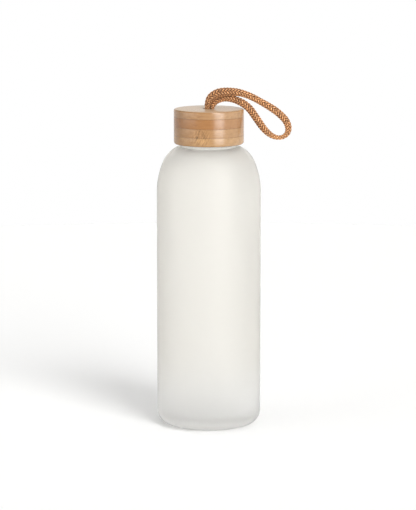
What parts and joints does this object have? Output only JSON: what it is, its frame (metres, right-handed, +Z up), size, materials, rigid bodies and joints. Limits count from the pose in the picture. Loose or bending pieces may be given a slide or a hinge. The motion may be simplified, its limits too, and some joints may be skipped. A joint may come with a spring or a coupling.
{
  "type": "glass water bottle",
  "caption": "Frosted glass water bottle with a domed shoulder, a laminated bamboo screw cap and a braided cord carry loop.",
  "frame": {"origin": "centre of the base, on the surface that the bottle stands on", "axes": "+Z up along the bottle's axis, +X towards the side that the carry loop hangs over"},
  "size_m": [0.0969, 0.075, 0.2443],
  "materials": {
    "frosted_glass": "fine satin frost outside, clear inside",
    "bamboo_light": "satin lacquered laminated bamboo",
    "bamboo_honey": "satin lacquered laminated bamboo, darker board",
    "white_plastic": "moulded polypropylene",
    "silicone": "translucent matt silicone",
    "braided_cord": "round braid of caramel brown yarn"
  },
  "bodies": {
    "bottle": {"glass_bottle": "frosted_glass"},
    "seal": {"seal_ring": "silicone"},
    "cap": {"cap_board_1": "bamboo_light", "cap_board_2": "bamboo_light", "cap_board_3": "bamboo_honey", "cap_board_4": "bamboo_light", "thread_liner": "white_plastic"},
    "swivel": {"cord_knot": "braided_cord", "loop_root": "braided_cord"},
    "loop": {"carry_loop": "braided_cord"}
  },
  "joints": [
    {"name": "cap_lift", "type": "slide", "parent": "bottle", "child": "seal", "axis": [0, 0, 1], "range_m": [0, 0.01]},
    {"name": "cap_turn", "type": "hinge", "parent": "seal", "child": "cap", "pos_m": [0, 0, 0.209], "axis": [0, 0, 1], "range_deg": [0, 900]},
    {"name": "loop_swivel", "type": "hinge", "parent": "cap", "child": "swivel", "pos_m": [0, 0, 0.2275], "axis": [0, 0, 1], "continuous": true},
    {"name": "loop_flex", "type": "hinge", "parent": "swivel", "child": "loop", "pos_m": [0.011, 0, 0.24], "axis": [0, -1, 0], "range_deg": [0, 80], "deforming": ["loop_root"]}
  ],
  "couplings": [
    {"joint": "cap_lift", "follows": "cap_turn", "m_per_rad": 0.00063661}
  ]
}
